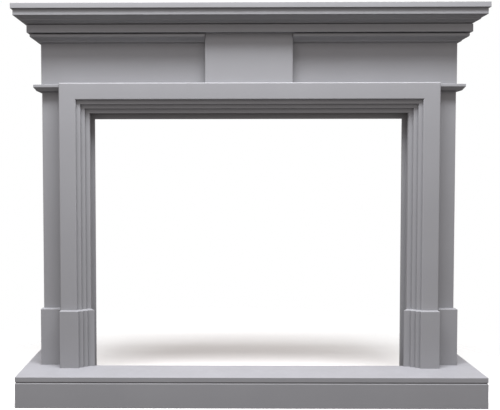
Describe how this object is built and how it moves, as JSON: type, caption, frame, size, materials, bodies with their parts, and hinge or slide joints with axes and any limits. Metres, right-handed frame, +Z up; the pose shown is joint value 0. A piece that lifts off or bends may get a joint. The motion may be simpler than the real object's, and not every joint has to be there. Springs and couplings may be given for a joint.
{
  "type": "fireplace mantelpiece",
  "caption": "Freestanding painted fire surround with mantel shelf, cornice, stepped opening frame and boxed hearth; frames a fire opening against a wall.",
  "frame": {"origin": "on the floor under the middle of the whole piece's footprint", "axes": "+Z up, +X to the right seen from the room, +Y towards the wall, so the front faces -Y"},
  "size_m": [1.372, 0.305, 1.146],
  "materials": {
    "surround_paint": "mid-grey satin paint on smooth board, crisp arrises",
    "hearth_paint": "mid-grey satin paint, level hearth board",
    "raw_board": "unpainted fibreboard on hidden faces"
  },
  "bodies": {
    "root": {"hearth_slab": "hearth_paint", "hearth_front_riser": "surround_paint", "hearth_side_riser_left": "surround_paint", "hearth_side_riser_right": "surround_paint", "hearth_back_rail": "raw_board", "hearth_cheek_left": "raw_board", "hearth_cheek_right": "raw_board", "pilaster_left": "surround_paint", "pilaster_right": "surround_paint", "leg_return_left": "surround_paint", "leg_return_right": "surround_paint", "leg_inner_board_left": "raw_board", "leg_inner_board_right": "raw_board", "outer_base_block_left": "surround_paint", "outer_base_block_right": "surround_paint", "inner_base_block_left": "surround_paint", "inner_base_block_right": "surround_paint", "frame_leg_left": "surround_paint", "frame_leg_right": "surround_paint", "frame_header": "surround_paint", "lining_strip_left": "surround_paint", "lining_strip_right": "surround_paint", "lining_strip_top": "surround_paint", "lintel_board": "raw_board", "soffit_board": "raw_board", "capital_front_left": "surround_paint", "capital_front_right": "surround_paint", "capital_return_left": "surround_paint", "capital_return_right": "surround_paint", "frieze_board": "surround_paint", "frieze_return_left": "surround_paint", "frieze_return_right": "surround_paint", "centre_tablet": "surround_paint", "lower_moulding_left": "surround_paint", "lower_moulding_right": "surround_paint", "lower_moulding_return_left": "surround_paint", "lower_moulding_return_right": "surround_paint", "cornice_band_front": "surround_paint", "cornice_band_return_left": "surround_paint", "cornice_band_return_right": "surround_paint", "crown_moulding_front": "surround_paint", "crown_moulding_return_left": "surround_paint", "crown_moulding_return_right": "surround_paint", "shelf_under_board": "surround_paint", "mantel_shelf": "surround_paint"}
  },
  "joints": []
}
